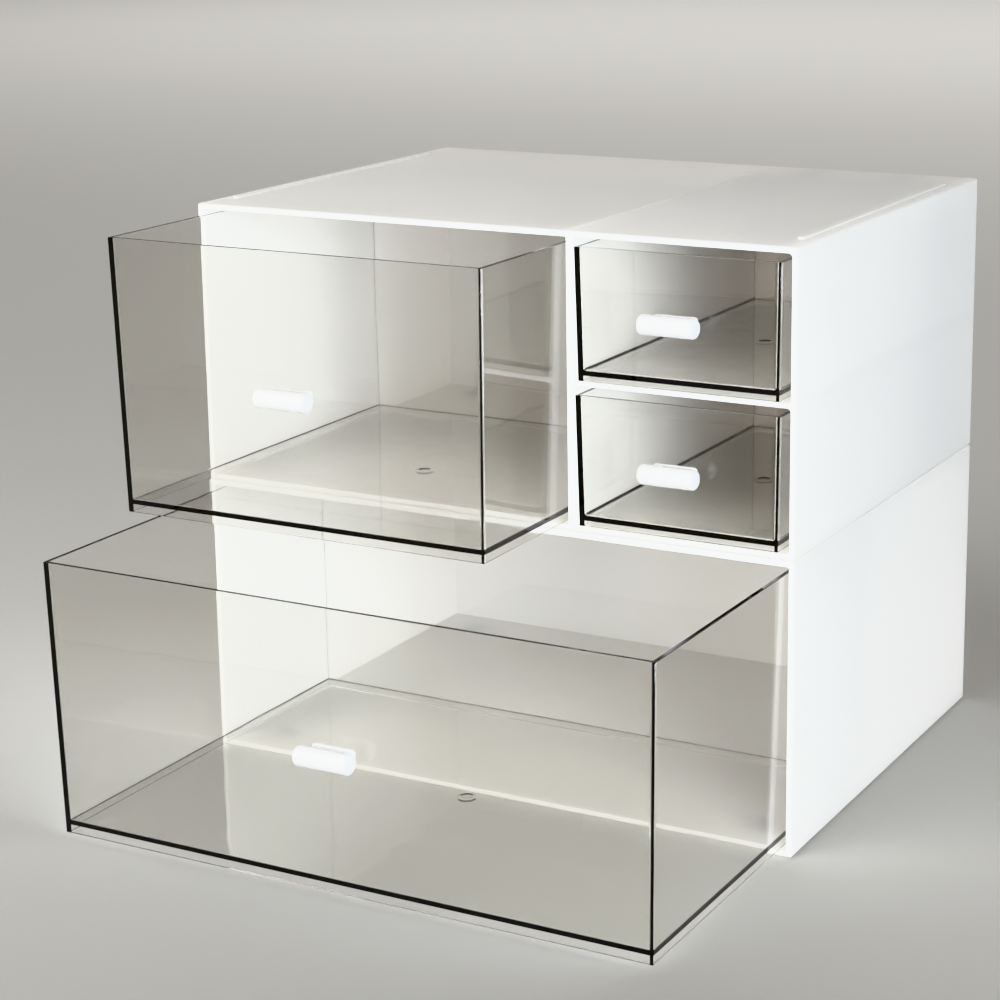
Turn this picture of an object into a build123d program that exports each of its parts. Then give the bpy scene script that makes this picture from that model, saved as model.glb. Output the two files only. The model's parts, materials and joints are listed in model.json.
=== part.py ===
from build123d import *
from dataclasses import dataclass
from math import radians, tan
import os

# A stacked desktop storage box: two white moulded cases, one standing on the other,
# with four smoke-tinted drawers. Each drawer has a white bar handle clipped to its front.
# Millimetres, +Z up. The front faces -Y, and the origin is on the ground under the
# middle of the cases. The drawers stand as far out as they were found.

# One case: outside size, walls and roundings. Both cases share them.
case_width = 270.0
case_depth = 202.0
case_height = 119.5
side_wall = 2.4
top_wall = 2.4
floor_wall = 2.4
back_wall = 2.4
case_edge = 1.0
mouth_edge = 0.4
large_bay_corner = 0.5
small_bay_corner = 1.6

# The upper case has a tall bay at the left, and a shelf halves the bays at the right.
tall_bay_width = 171.2
divider_wall = 3.2
shelf_wall = 2.0
sink_line_width = 2.0
sink_line_depth = 0.08
sink_line_inset = 4.0

# Two low rails on top of each case keep the next one from sliding off.
rail_width = 3.0
rail_height = 0.9
rail_length = 158.4
rail_inset = 6.6
rail_front_inset = 17.6
rail_round = 0.3
rail_gap = 0.3

# Four soft round pads sit in recesses under each case.
pad_diameter = 12.0
pad_thickness = 1.6
pad_proud = 0.3
pad_edge = 0.2
pad_side_inset = 23.0
pad_end_inset = 18.0
pad_gap = 0.2

# Drawers: thin drafted trays whose walls run on below the floor as a skirt.
drawer_wall = 1.7
drawer_floor = 1.8
drawer_corner = 0.5
large_inner_corner = 0.7
small_inner_corner = 1.3
large_floor_round = 0.5
small_floor_round = 1.1
rim_round = 0.25
draft_angle = 1.0
large_skirt = 3.1
small_skirt = 2.0
gate_diameter = 5.0
gate_depth = 0.5
gate_boss_diameter = 7.6
gate_boss_height = 0.8

# Running room around the drawers, and the stops behind them.
slide_gap = 0.2
large_side_gap = 0.7
large_top_gap = 2.3
small_left_gap = 0.6
small_right_gap = 3.8
small_top_gap = 3.4
closed_proud = 0.6
large_back_room = 7.2
small_back_room = 29.0
stop_gap = 0.3
stop_width = 12.0
stop_height = 6.0

# How far each drawer is pulled out of its closed place.
wide_pull = 112.5
tall_pull = 63.0
small_pull = 0.0

# Handle: a short round bar on a stem, with a thin flange and two snap prongs.
bar_length = 24.0
bar_diameter = 7.9
bar_end_round = 1.6
bar_reach = 6.9
stem_width = 16.2
stem_height = 5.0
stem_corner = 0.8
flange_width = 18.4
flange_height = 6.0
flange_thickness = 1.0
flange_corner = 1.4
flange_edge = 0.3
prong_spacing = 9.0
prong_width = 2.4
prong_height = 3.0
prong_gap = 0.15
barb_width = 0.7
barb_length = 1.8

# Places that follow from the sizes.
lean = tan(radians(draft_angle))
bay_depth = case_depth - back_wall
closed_rim = -case_depth / 2 - closed_proud
inner_side = case_width / 2 - side_wall
divider_left = tall_bay_width - inner_side
divider_right = divider_left + divider_wall
lower_base = pad_proud
upper_base = lower_base + case_height + pad_proud
lower_floor = lower_base + floor_wall
lower_roof = lower_base + case_height - top_wall
upper_floor = upper_base + floor_wall
upper_roof = upper_base + case_height - top_wall
shelf_middle = (upper_floor + upper_roof) / 2
shelf_under = shelf_middle - shelf_wall / 2
shelf_top = shelf_middle + shelf_wall / 2


@dataclass
class Bay:
    """An opening in a case, with the room that its drawer leaves in it."""
    left: float
    right: float
    floor: float
    roof: float
    left_gap: float
    right_gap: float
    top_gap: float
    back_room: float
    corner: float
    skirt: float
    inner_corner: float
    floor_round: float
    pull: float

    def width(self):
        return self.right - self.left - self.left_gap - self.right_gap

    def height(self):
        return self.roof - self.floor - self.top_gap - slide_gap

    def length(self):
        return bay_depth + closed_proud - self.back_room

    def middle(self):
        return (self.left + self.left_gap + self.right - self.right_gap) / 2

    def base(self):
        return self.floor + slide_gap

    def rim(self):
        return closed_rim - self.pull

    def front_plane(self):
        """The plane of the leaning front at half height, with its normal pointing out."""
        drop = self.height() / 2
        return Plane(
            origin=(self.middle(), self.rim() + drop * lean, self.base() + drop),
            x_dir=(1, 0, 0),
            z_dir=(0, -1, -lean),
        )


def large_bay(left, right, floor, roof, pull):
    gaps = (large_side_gap, large_side_gap, large_top_gap, large_back_room)
    tray = (large_skirt, large_inner_corner, large_floor_round)
    return Bay(left, right, floor, roof, *gaps, large_bay_corner, *tray, pull)


def small_bay(floor, roof):
    gaps = (small_left_gap, small_right_gap, small_top_gap, small_back_room)
    tray = (small_skirt, small_inner_corner, small_floor_round)
    return Bay(divider_right, inner_side, floor, roof, *gaps, small_bay_corner, *tray, small_pull)


wide_bay = large_bay(-inner_side, inner_side, lower_floor, lower_roof, wide_pull)
tall_bay = large_bay(-inner_side, divider_left, upper_floor, upper_roof, tall_pull)
small_top_bay = small_bay(shelf_top, upper_roof)
small_bottom_bay = small_bay(upper_floor, shelf_under)


def pad_places():
    """Where the four pads sit under a case, from front left to back right."""
    x = case_width / 2 - pad_side_inset
    y = case_depth / 2 - pad_end_inset
    return {
        "front_left": (-x, -y),
        "front_right": (x, -y),
        "back_left": (-x, y),
        "back_right": (x, y),
    }


def moulded_case(base, bays, divider_lines):
    """One case: a rounded box with its bays, drawer stops, rails, grooves and recesses."""
    front = Plane.XZ.offset(case_depth / 2)
    top = base + case_height
    rail_x = case_width / 2 - rail_inset
    rail_y = -case_depth / 2 + rail_front_inset + rail_length / 2
    rail_places = [(-rail_x, rail_y), (rail_x, rail_y)]
    with BuildPart() as case:
        with BuildSketch(front):
            with Locations((0, base + case_height / 2)):
                Rectangle(case_width, case_height)
        extrude(amount=-case_depth)
        fillet(case.edges(), case_edge)

        # The bays run from the front to the back wall, with rounded mouths.
        for bay in bays:
            with BuildSketch(front):
                with Locations(((bay.left + bay.right) / 2, (bay.floor + bay.roof) / 2)):
                    RectangleRounded(bay.right - bay.left, bay.roof - bay.floor, bay.corner)
            extrude(amount=-bay_depth, mode=Mode.SUBTRACT)
        mouths = case.faces().sort_by(Axis.Y)[0].inner_wires()
        fillet(mouths.edges(), mouth_edge)

        # Two blocks under the roof at the back of each bay stop its drawer by the rim.
        for bay in bays:
            reach = bay.back_room - stop_gap
            quarter = bay.width() / 4
            with BuildSketch(Plane.XY.offset(bay.roof)):
                with Locations((bay.middle() - quarter, 0), (bay.middle() + quarter, 0)):
                    with Locations((0, bay_depth - case_depth / 2 - reach / 2)):
                        Rectangle(stop_width, reach)
            extrude(amount=-bay.top_gap - stop_height)

        # Rails on top, and grooves below that fit over the rails of a case underneath.
        with BuildSketch(Plane.XY.offset(top)):
            with Locations(rail_places):
                SlotOverall(rail_length, rail_width, rotation=90)
        extrude(amount=rail_height)
        fillet(case.faces().group_by(Axis.Z)[-1].edges(), rail_round)
        with BuildSketch(Plane.XY.offset(base)):
            with Locations(rail_places):
                SlotOverall(rail_length + 2 * rail_gap, rail_width + 2 * rail_gap, rotation=90)
        extrude(amount=rail_height - pad_proud + rail_gap, mode=Mode.SUBTRACT)

        # The top sinks in a little along the root of each divider.
        for line in divider_lines:
            with BuildSketch(Plane.XY.offset(top)):
                with Locations((line, 0)):
                    SlotOverall(case_depth - 2 * sink_line_inset, sink_line_width, rotation=90)
            extrude(amount=-sink_line_depth, mode=Mode.SUBTRACT)

        with BuildSketch(Plane.XY.offset(base)):
            with Locations(*pad_places().values()):
                Circle(pad_diameter / 2 + pad_gap)
        extrude(amount=pad_thickness - pad_proud, mode=Mode.SUBTRACT)
    return case.part


def drawer_tray(bay):
    """A tray that narrows towards its foot, with a skirt, a gate mark and handle slots."""
    width = bay.width()
    length = bay.length()
    height = bay.height()
    middle = (bay.middle(), bay.rim() + length / 2)
    floor_top = bay.base() + bay.skirt + drawer_floor
    pocket = height - bay.skirt - drawer_floor
    foot_inset = 2 * height * lean
    pocket_inset = 2 * pocket * lean + 2 * drawer_wall
    skirt_inset = foot_inset + 2 * drawer_wall
    with BuildPart() as hollow:
        with BuildSketch(Plane.XY.offset(floor_top)):
            with Locations(middle):
                Rectangle(width - pocket_inset, length - pocket_inset)
        extrude(amount=pocket, taper=-draft_angle)
        fillet(hollow.edges().group_by(Axis.Z)[1], bay.inner_corner)
        fillet(hollow.faces().sort_by(Axis.Z)[0].edges(), bay.floor_round)

    with BuildPart() as tray:
        with BuildSketch(Plane.XY.offset(bay.base())):
            with Locations(middle):
                Rectangle(width - foot_inset, length - foot_inset)
        extrude(amount=height, taper=-draft_angle)
        fillet(tray.edges().group_by(Axis.Z)[1], drawer_corner)
        add(hollow.part, mode=Mode.SUBTRACT)
        fillet(tray.edges().group_by(Axis.Z)[-1], rim_round)

        # Below the floor the walls run on as a skirt.
        with BuildSketch(Plane.XY.offset(bay.base())):
            with Locations(middle):
                RectangleRounded(width - skirt_inset, length - skirt_inset, drawer_corner)
        extrude(amount=bay.skirt, mode=Mode.SUBTRACT)

        # The gate mark: a dimple in the middle of the floor over a low boss.
        with BuildSketch(Plane.XY.offset(bay.base() + bay.skirt)):
            with Locations(middle):
                Circle(gate_boss_diameter / 2)
        extrude(amount=-gate_boss_height)
        with BuildSketch(Plane.XY.offset(floor_top)):
            with Locations(middle):
                Circle(gate_diameter / 2)
        extrude(amount=-gate_depth, mode=Mode.SUBTRACT)

        # Two slots take the prongs of the handle.
        with BuildSketch(bay.front_plane()):
            with GridLocations(prong_spacing, 0, 2, 1):
                Rectangle(prong_width + 2 * prong_gap, prong_height + 2 * prong_gap)
        extrude(amount=-2 * drawer_wall, mode=Mode.SUBTRACT)
    return tray.part


def bar_handle(bay):
    """A bar handle: flange on the drawer's front, stem, round bar and two snap prongs."""
    seat = bay.front_plane()
    bar_middle = Plane(
        origin=seat.from_local_coords((0, 0, bar_reach)), x_dir=seat.y_dir, z_dir=seat.x_dir
    )
    prong_plane = Plane(origin=seat.origin, x_dir=seat.x_dir, z_dir=-seat.y_dir)
    inner = (prong_spacing - prong_width) / 2
    outer = (prong_spacing + prong_width) / 2
    catch = drawer_wall + prong_gap
    with BuildPart() as handle:
        with BuildSketch(seat):
            RectangleRounded(flange_width, flange_height, flange_corner)
        extrude(amount=flange_thickness)
        fillet(handle.faces().sort_by(Axis(seat.origin, seat.z_dir))[-1].edges(), flange_edge)

        with BuildSketch(seat.offset(flange_thickness)):
            RectangleRounded(stem_width, stem_height, stem_corner)
        extrude(amount=bar_reach - flange_thickness)

        with BuildSketch(bar_middle):
            Circle(bar_diameter / 2)
        extrude(amount=bar_length / 2, both=True)
        bar_ends = handle.faces().group_by(Axis(seat.origin, seat.x_dir))
        fillet(bar_ends[0].edges() + bar_ends[-1].edges(), bar_end_round)

        # Each prong passes through its slot and hooks its barb behind the wall.
        with BuildSketch(prong_plane):
            with BuildLine():
                Polyline(
                    (inner, 0),
                    (outer, 0),
                    (outer, -catch),
                    (outer + barb_width, -catch),
                    (outer, -catch - barb_length),
                    (inner, -catch - barb_length),
                    close=True,
                )
            make_face()
            mirror(about=Plane.YZ)
        extrude(amount=prong_height / 2, both=True)
    return handle.part


def soft_pad(place, base):
    """A round pad, standing a little below the case it is stuck under."""
    with BuildPart() as pad:
        with BuildSketch(Plane.XY.offset(base - pad_proud)):
            with Locations(place):
                Circle(pad_diameter / 2)
        extrude(amount=pad_thickness)
        fillet(pad.edges().group_by(Axis.Z)[0], pad_edge)
    return pad.part


def save(piece, name):
    piece.label = name
    export_step(piece, f"parts/{name}.step")


os.makedirs("parts", exist_ok=True)

upper_bays = [tall_bay, small_top_bay, small_bottom_bay]
save(moulded_case(lower_base, [wide_bay], []), "lower_case")
save(moulded_case(upper_base, upper_bays, [(divider_left + divider_right) / 2]), "upper_case")

drawer_bays = {
    "wide": wide_bay,
    "tall": tall_bay,
    "small_top": small_top_bay,
    "small_bottom": small_bottom_bay,
}
for drawer, bay in drawer_bays.items():
    save(drawer_tray(bay), f"{drawer}_drawer")
    save(bar_handle(bay), f"{drawer}_handle")

for corner, place in pad_places().items():
    save(soft_pad(place, lower_base), f"lower_pad_{corner}")
    save(soft_pad(place, upper_base), f"upper_pad_{corner}")
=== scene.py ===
import json
import math

import bpy
from mathutils import Matrix, Vector


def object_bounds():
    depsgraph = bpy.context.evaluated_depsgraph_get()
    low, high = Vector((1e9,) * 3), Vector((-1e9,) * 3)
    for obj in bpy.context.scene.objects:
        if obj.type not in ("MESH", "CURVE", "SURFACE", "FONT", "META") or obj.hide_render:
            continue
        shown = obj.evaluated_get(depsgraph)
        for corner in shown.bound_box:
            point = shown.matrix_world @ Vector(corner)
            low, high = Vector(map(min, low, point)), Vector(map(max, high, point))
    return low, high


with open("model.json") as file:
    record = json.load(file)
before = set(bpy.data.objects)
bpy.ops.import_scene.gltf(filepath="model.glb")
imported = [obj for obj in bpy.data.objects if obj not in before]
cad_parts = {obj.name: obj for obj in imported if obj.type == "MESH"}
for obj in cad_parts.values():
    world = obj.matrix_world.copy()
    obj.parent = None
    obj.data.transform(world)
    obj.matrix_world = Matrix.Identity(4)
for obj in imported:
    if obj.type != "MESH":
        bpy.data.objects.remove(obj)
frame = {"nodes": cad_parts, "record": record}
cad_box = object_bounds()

# A stacked desktop storage box: white moulded cases with smoke-tinted clear drawers.
# Metres, in the frame of the CAD model: +Z up, the drawer fronts face -Y.

# The camera: where it stands and how it is turned, in metres and degrees.
CAMERA_PLACE = Vector((0.4732, -0.9128, 0.3874))
CAMERA_AZIMUTH = 28.33
CAMERA_ELEVATION = 13.11
CAMERA_ROLL = -0.62
SENSOR_MM = 36.0
LENS_MM = 87.4
CAMERA_SHIFT = (-0.06, -0.10)

# The floor and the even light of the room.
FLOOR_HALF = 12.0
FLOOR_COLOUR = (0.68, 0.675, 0.655, 1.0)
FLOOR_SHADE = 0.985
FLOOR_MOTTLE = 0.6
FLOOR_ROUGHNESS = 0.8
WORLD_COLOUR = (1.0, 0.98, 0.95, 1.0)
WORLD_STRENGTH = 0.25
VIEW_TRANSFORM = "Khronos PBR Neutral"

# The lamps: a near key from the right, a high fill from the front left, a low glance into
# the bays from the left and a wash on the floor behind. The two low lamps spare the floor.
PART_MIDDLE = (Vector(cad_box[0]) + Vector(cad_box[1])) / 2
KEY_PLACE = Vector((0.76, -0.67, 0.26))
KEY_SIZE = (0.5, 0.5)
KEY_WATTS = 15.0
KEY_COLOUR = (0.86, 0.93, 1.0)
FILL_PLACE = Vector((-0.53, -1.03, 1.25))
FILL_SIZE = (1.1, 1.1)
FILL_WATTS = 14.0
FILL_COLOUR = (1.0, 0.99, 0.965)
GLANCE_PLACE = Vector((-0.74, -1.09, 0.3))
GLANCE_SIZE = (0.5, 0.5)
GLANCE_WATTS = 16.0
GLANCE_COLOUR = (0.98, 0.98, 1.0)
WASH_PLACE = Vector((-1.2, 3.8, 2.4))
WASH_AIM = Vector((-1.2, 3.8, 0.0))
WASH_SIZE = (5.5, 3.0)
WASH_WATTS = 95.0
WASH_COLOUR = (1.0, 0.98, 0.95)

# Light passes many clear walls on its way through the drawers.
LIGHT_BOUNCES = 32
WHITE_BOUNCES = 12

# The part of a noise that is spread over a whole range.
NOISE_MIDDLE = (0.3, 0.7)

# The materials below have colours, ranges of roughness, and the sizes of their noises and
# the heights of their bumps in metres.

# The white cases. The seep is the share of light that passes the walls, and its tint.
CASE_WHITES = ((0.915, 0.918, 0.915, 1.0), (0.945, 0.945, 0.94, 1.0))
CASE_CLOUD = 0.09
CASE_ROUGHNESS = (0.36, 0.46)
CASE_PATCH = 0.02
CASE_IOR = 1.49
CASE_GRAIN = 0.0004
CASE_GRAIN_HEIGHT = 0.00002
CASE_GRAIN_STRENGTH = 0.12
SEEP_SHARE = 0.42
SEEP_COLOUR = (0.99, 0.962, 0.925, 1.0)

# The smoke-tinted drawers: a haze and slow waves that run up the walls.
SMOKE_FACE = (0.925, 0.92, 0.905, 1.0)
SMOKE_DEPTH = (0.47, 0.44, 0.36, 1.0)
SMOKE_DENSITY = 50.0
SMOKE_IOR = 1.57
SMOKE_ROUGHNESS = (0.0, 0.03)
SMOKE_HAZE = 0.05
SMOKE_HAZE_STRETCH = (1.0, 1.0, 2.5)
SMOKE_WAVE = 0.025
SMOKE_WAVE_STRETCH = (1.0, 1.0, 3.0)
SMOKE_WAVE_HEIGHT = 0.00012
SMOKE_WAVE_STRENGTH = 1.0

# The white handles.
HANDLE_WHITES = ((0.72, 0.715, 0.7, 1.0), (0.76, 0.755, 0.74, 1.0))
HANDLE_CLOUD = 0.012
HANDLE_ROUGHNESS = (0.22, 0.3)
HANDLE_PATCH = 0.006
HANDLE_IOR = 1.53
HANDLE_GRAIN = 0.0006
HANDLE_GRAIN_HEIGHT = 0.00001
HANDLE_GRAIN_STRENGTH = 0.25

# The soft pads.
PAD_GREYS = ((0.6, 0.6, 0.59, 1.0), (0.7, 0.7, 0.685, 1.0))
PAD_MOTTLE = 0.002
PAD_ROUGHNESS = (0.75, 0.9)
PAD_PATCH = 0.001
PAD_PORE = 0.0005
PAD_PORE_HEIGHT = 0.00008
PAD_PORE_STRENGTH = 0.5


def new_material(name):
    """A node material, its tree and shader, and the coordinates of the part's frame."""
    material = bpy.data.materials.new(name)
    material.use_nodes = True
    tree = material.node_tree
    shader = tree.nodes["Principled BSDF"]
    coordinates = tree.nodes.new("ShaderNodeTexCoord")
    return material, tree, shader, coordinates.outputs["Object"]


def noise(tree, coordinates, size, detail=3.0, stretch=(1.0, 1.0, 1.0)):
    """A noise whose patches are about size metres across, longer along a stretched axis."""
    mapping = tree.nodes.new("ShaderNodeMapping")
    mapping.inputs["Scale"].default_value = [1.0 / (size * s) for s in stretch]
    texture = tree.nodes.new("ShaderNodeTexNoise")
    texture.inputs["Scale"].default_value = 1.0
    texture.inputs["Detail"].default_value = detail
    tree.links.new(coordinates, mapping.inputs["Vector"])
    tree.links.new(mapping.outputs["Vector"], texture.inputs["Vector"])
    return texture.outputs["Fac"]


def ramp(tree, value, low, high):
    """Maps the middle of a noise onto low to high."""
    node = tree.nodes.new("ShaderNodeMapRange")
    node.inputs["From Min"].default_value = NOISE_MIDDLE[0]
    node.inputs["From Max"].default_value = NOISE_MIDDLE[1]
    node.inputs["To Min"].default_value = low
    node.inputs["To Max"].default_value = high
    tree.links.new(value, node.inputs["Value"])
    return node.outputs["Result"]


def tint(tree, value, first, second, shader):
    """Takes the shader from one colour to another with a noise."""
    node = tree.nodes.new("ShaderNodeMix")
    node.data_type = "RGBA"
    node.inputs["A"].default_value = first
    node.inputs["B"].default_value = second
    tree.links.new(ramp(tree, value, 0.0, 1.0), node.inputs["Factor"])
    tree.links.new(node.outputs["Result"], shader.inputs["Base Color"])


def roughen(tree, value, limits, shader):
    """Varies the shader's roughness between two limits with a noise."""
    tree.links.new(ramp(tree, value, *limits), shader.inputs["Roughness"])


def bump(tree, value, height, strength, shader):
    """Raises the surface by a noise, height metres at most."""
    node = tree.nodes.new("ShaderNodeBump")
    node.inputs["Strength"].default_value = strength
    node.inputs["Distance"].default_value = height
    tree.links.new(value, node.inputs["Height"])
    tree.links.new(node.outputs["Normal"], shader.inputs["Normal"])


def white_case():
    """Satin moulded white plastic: a fine spark grain and faint cloudy flow."""
    material, tree, shader, place = new_material("white_case_plastic")
    tint(tree, noise(tree, place, CASE_CLOUD, 4.0), *CASE_WHITES, shader)
    roughen(tree, noise(tree, place, CASE_PATCH), CASE_ROUGHNESS, shader)
    shader.inputs["IOR"].default_value = CASE_IOR
    grain = noise(tree, place, CASE_GRAIN, 2.0)
    bump(tree, grain, CASE_GRAIN_HEIGHT, CASE_GRAIN_STRENGTH, shader)

    # Some light seeps through the thin walls.
    seep = tree.nodes.new("ShaderNodeBsdfTranslucent")
    seep.inputs["Color"].default_value = SEEP_COLOUR
    both = tree.nodes.new("ShaderNodeMixShader")
    both.inputs["Fac"].default_value = SEEP_SHARE
    tree.links.new(shader.outputs["BSDF"], both.inputs[1])
    tree.links.new(seep.outputs["BSDF"], both.inputs[2])
    tree.links.new(both.outputs["Shader"], tree.nodes["Material Output"].inputs["Surface"])
    return material


def smoke_drawer():
    """Polished clear plastic with a warm grey tint that deepens along its edges."""
    material, tree, shader, place = new_material("smoke_drawer_plastic")
    shader.inputs["Base Color"].default_value = SMOKE_FACE
    shader.inputs["Transmission Weight"].default_value = 1.0
    shader.inputs["IOR"].default_value = SMOKE_IOR
    roughen(tree, noise(tree, place, SMOKE_HAZE, 4.0, SMOKE_HAZE_STRETCH), SMOKE_ROUGHNESS, shader)
    wave = noise(tree, place, SMOKE_WAVE, 1.0, SMOKE_WAVE_STRETCH)
    bump(tree, wave, SMOKE_WAVE_HEIGHT, SMOKE_WAVE_STRENGTH, shader)

    # Lamps shine through the walls, with the tint of the plastic they pass.
    clear = tree.nodes.new("ShaderNodeBsdfTransparent")
    path = tree.nodes.new("ShaderNodeLightPath")
    either = tree.nodes.new("ShaderNodeMixShader")
    tree.links.new(path.outputs["Is Shadow Ray"], either.inputs["Fac"])
    tree.links.new(shader.outputs["BSDF"], either.inputs[1])
    tree.links.new(clear.outputs["BSDF"], either.inputs[2])
    absorption = tree.nodes.new("ShaderNodeVolumeAbsorption")
    absorption.inputs["Color"].default_value = SMOKE_DEPTH
    absorption.inputs["Density"].default_value = SMOKE_DENSITY
    output = tree.nodes["Material Output"]
    tree.links.new(either.outputs["Shader"], output.inputs["Surface"])
    tree.links.new(absorption.outputs["Volume"], output.inputs["Volume"])
    return material


def white_handle():
    """Semi-gloss white plastic, a little smoother than the cases."""
    material, tree, shader, place = new_material("white_handle_plastic")
    tint(tree, noise(tree, place, HANDLE_CLOUD), *HANDLE_WHITES, shader)
    roughen(tree, noise(tree, place, HANDLE_PATCH), HANDLE_ROUGHNESS, shader)
    shader.inputs["IOR"].default_value = HANDLE_IOR
    grain = noise(tree, place, HANDLE_GRAIN, 2.0)
    bump(tree, grain, HANDLE_GRAIN_HEIGHT, HANDLE_GRAIN_STRENGTH, shader)
    return material


def soft_pad():
    """Matte off-white foam rubber with fine pores."""
    material, tree, shader, place = new_material("soft_pad_rubber")
    tint(tree, noise(tree, place, PAD_MOTTLE), *PAD_GREYS, shader)
    roughen(tree, noise(tree, place, PAD_PATCH), PAD_ROUGHNESS, shader)
    bump(tree, noise(tree, place, PAD_PORE), PAD_PORE_HEIGHT, PAD_PORE_STRENGTH, shader)
    return material


def pale_floor():
    """A plain pale floor with a hardly visible mottle."""
    material, tree, shader, place = new_material("pale_floor")
    shade = tuple(FLOOR_SHADE * c for c in FLOOR_COLOUR[:3]) + (1.0,)
    tint(tree, noise(tree, place, FLOOR_MOTTLE), FLOOR_COLOUR, shade, shader)
    shader.inputs["Roughness"].default_value = FLOOR_ROUGHNESS
    return material


def dress_nodes():
    """Gives every node the material of its slot."""
    materials = {
        "white_case": white_case(),
        "smoke_drawer": smoke_drawer(),
        "white_handle": white_handle(),
        "soft_pad": soft_pad(),
    }
    for part in frame["record"]["subparts"]:
        piece = frame["nodes"][part["node"]]
        piece.data.materials.clear()
        piece.data.materials.append(materials[part["material_slot"]])


def add_floor():
    """A wide square floor at the height of the part's lowest point."""
    mesh = bpy.data.meshes.new("floor")
    corners = [(-1, -1), (1, -1), (1, 1), (-1, 1)]
    ground = cad_box[0][2]
    points = [(x * FLOOR_HALF, y * FLOOR_HALF, ground) for x, y in corners]
    mesh.from_pydata(points, [], [range(len(points))])
    mesh.materials.append(pale_floor())
    floor = bpy.data.objects.new("floor", mesh)
    bpy.context.scene.collection.objects.link(floor)
    return floor


def add_lamp(name, place, size, watts, colour, aim, spared=None):
    """A soft lamp that isn't seen itself, and doesn't light the spared object."""
    light = bpy.data.lights.new(name, "AREA")
    light.shape = "RECTANGLE"
    light.size, light.size_y = size
    light.energy = watts
    light.color = colour
    lamp = bpy.data.objects.new(name, light)
    lamp.location = place
    lamp.rotation_euler = (aim - place).to_track_quat("-Z", "Y").to_euler()
    lamp.visible_camera = False
    lamp.visible_transmission = False
    if spared:
        receivers = bpy.data.collections.new(name + "_receivers")
        receivers.objects.link(spared)
        receivers.collection_objects[0].light_linking.link_state = "EXCLUDE"
        lamp.light_linking.receiver_collection = receivers
    bpy.context.scene.collection.objects.link(lamp)
    return lamp


def add_studio(floor):
    """The room's light, the lamps, and how the picture is taken."""
    world = bpy.data.worlds.new("studio")
    world.use_nodes = True
    background = world.node_tree.nodes["Background"]
    background.inputs["Color"].default_value = WORLD_COLOUR
    background.inputs["Strength"].default_value = WORLD_STRENGTH
    bpy.context.scene.world = world
    add_lamp("key", KEY_PLACE, KEY_SIZE, KEY_WATTS, KEY_COLOUR, PART_MIDDLE, floor)
    add_lamp("fill", FILL_PLACE, FILL_SIZE, FILL_WATTS, FILL_COLOUR, PART_MIDDLE)
    glance = add_lamp(
        "glance", GLANCE_PLACE, GLANCE_SIZE, GLANCE_WATTS, GLANCE_COLOUR, PART_MIDDLE, floor
    )
    # It would show as a bright square in the drawer fronts.
    glance.visible_glossy = False
    add_lamp("wash", WASH_PLACE, WASH_SIZE, WASH_WATTS, WASH_COLOUR, WASH_AIM)
    scene = bpy.context.scene
    scene.view_settings.view_transform = VIEW_TRANSFORM
    scene.cycles.max_bounces = LIGHT_BOUNCES
    scene.cycles.transmission_bounces = LIGHT_BOUNCES
    scene.cycles.transparent_max_bounces = LIGHT_BOUNCES
    scene.cycles.diffuse_bounces = WHITE_BOUNCES


def add_camera():
    """The camera, in the place of the photograph's."""
    azimuth, elevation, roll = map(
        math.radians, (CAMERA_AZIMUTH, CAMERA_ELEVATION, CAMERA_ROLL)
    )
    back = Vector((
        math.sin(azimuth) * math.cos(elevation),
        -math.cos(azimuth) * math.cos(elevation),
        math.sin(elevation),
    ))
    right = Vector((0.0, 0.0, 1.0)).cross(back).normalized()
    up = back.cross(right)
    turn = Matrix((right, up, back)).transposed() @ Matrix.Rotation(roll, 3, "Z")
    data = bpy.data.cameras.new("camera")
    data.sensor_width = SENSOR_MM
    data.lens = LENS_MM
    data.shift_x, data.shift_y = CAMERA_SHIFT
    camera = bpy.data.objects.new("camera", data)
    camera.matrix_world = Matrix.Translation(CAMERA_PLACE) @ turn.to_4x4()
    bpy.context.scene.collection.objects.link(camera)
    bpy.context.scene.camera = camera


dress_nodes()
add_studio(add_floor())
add_camera()
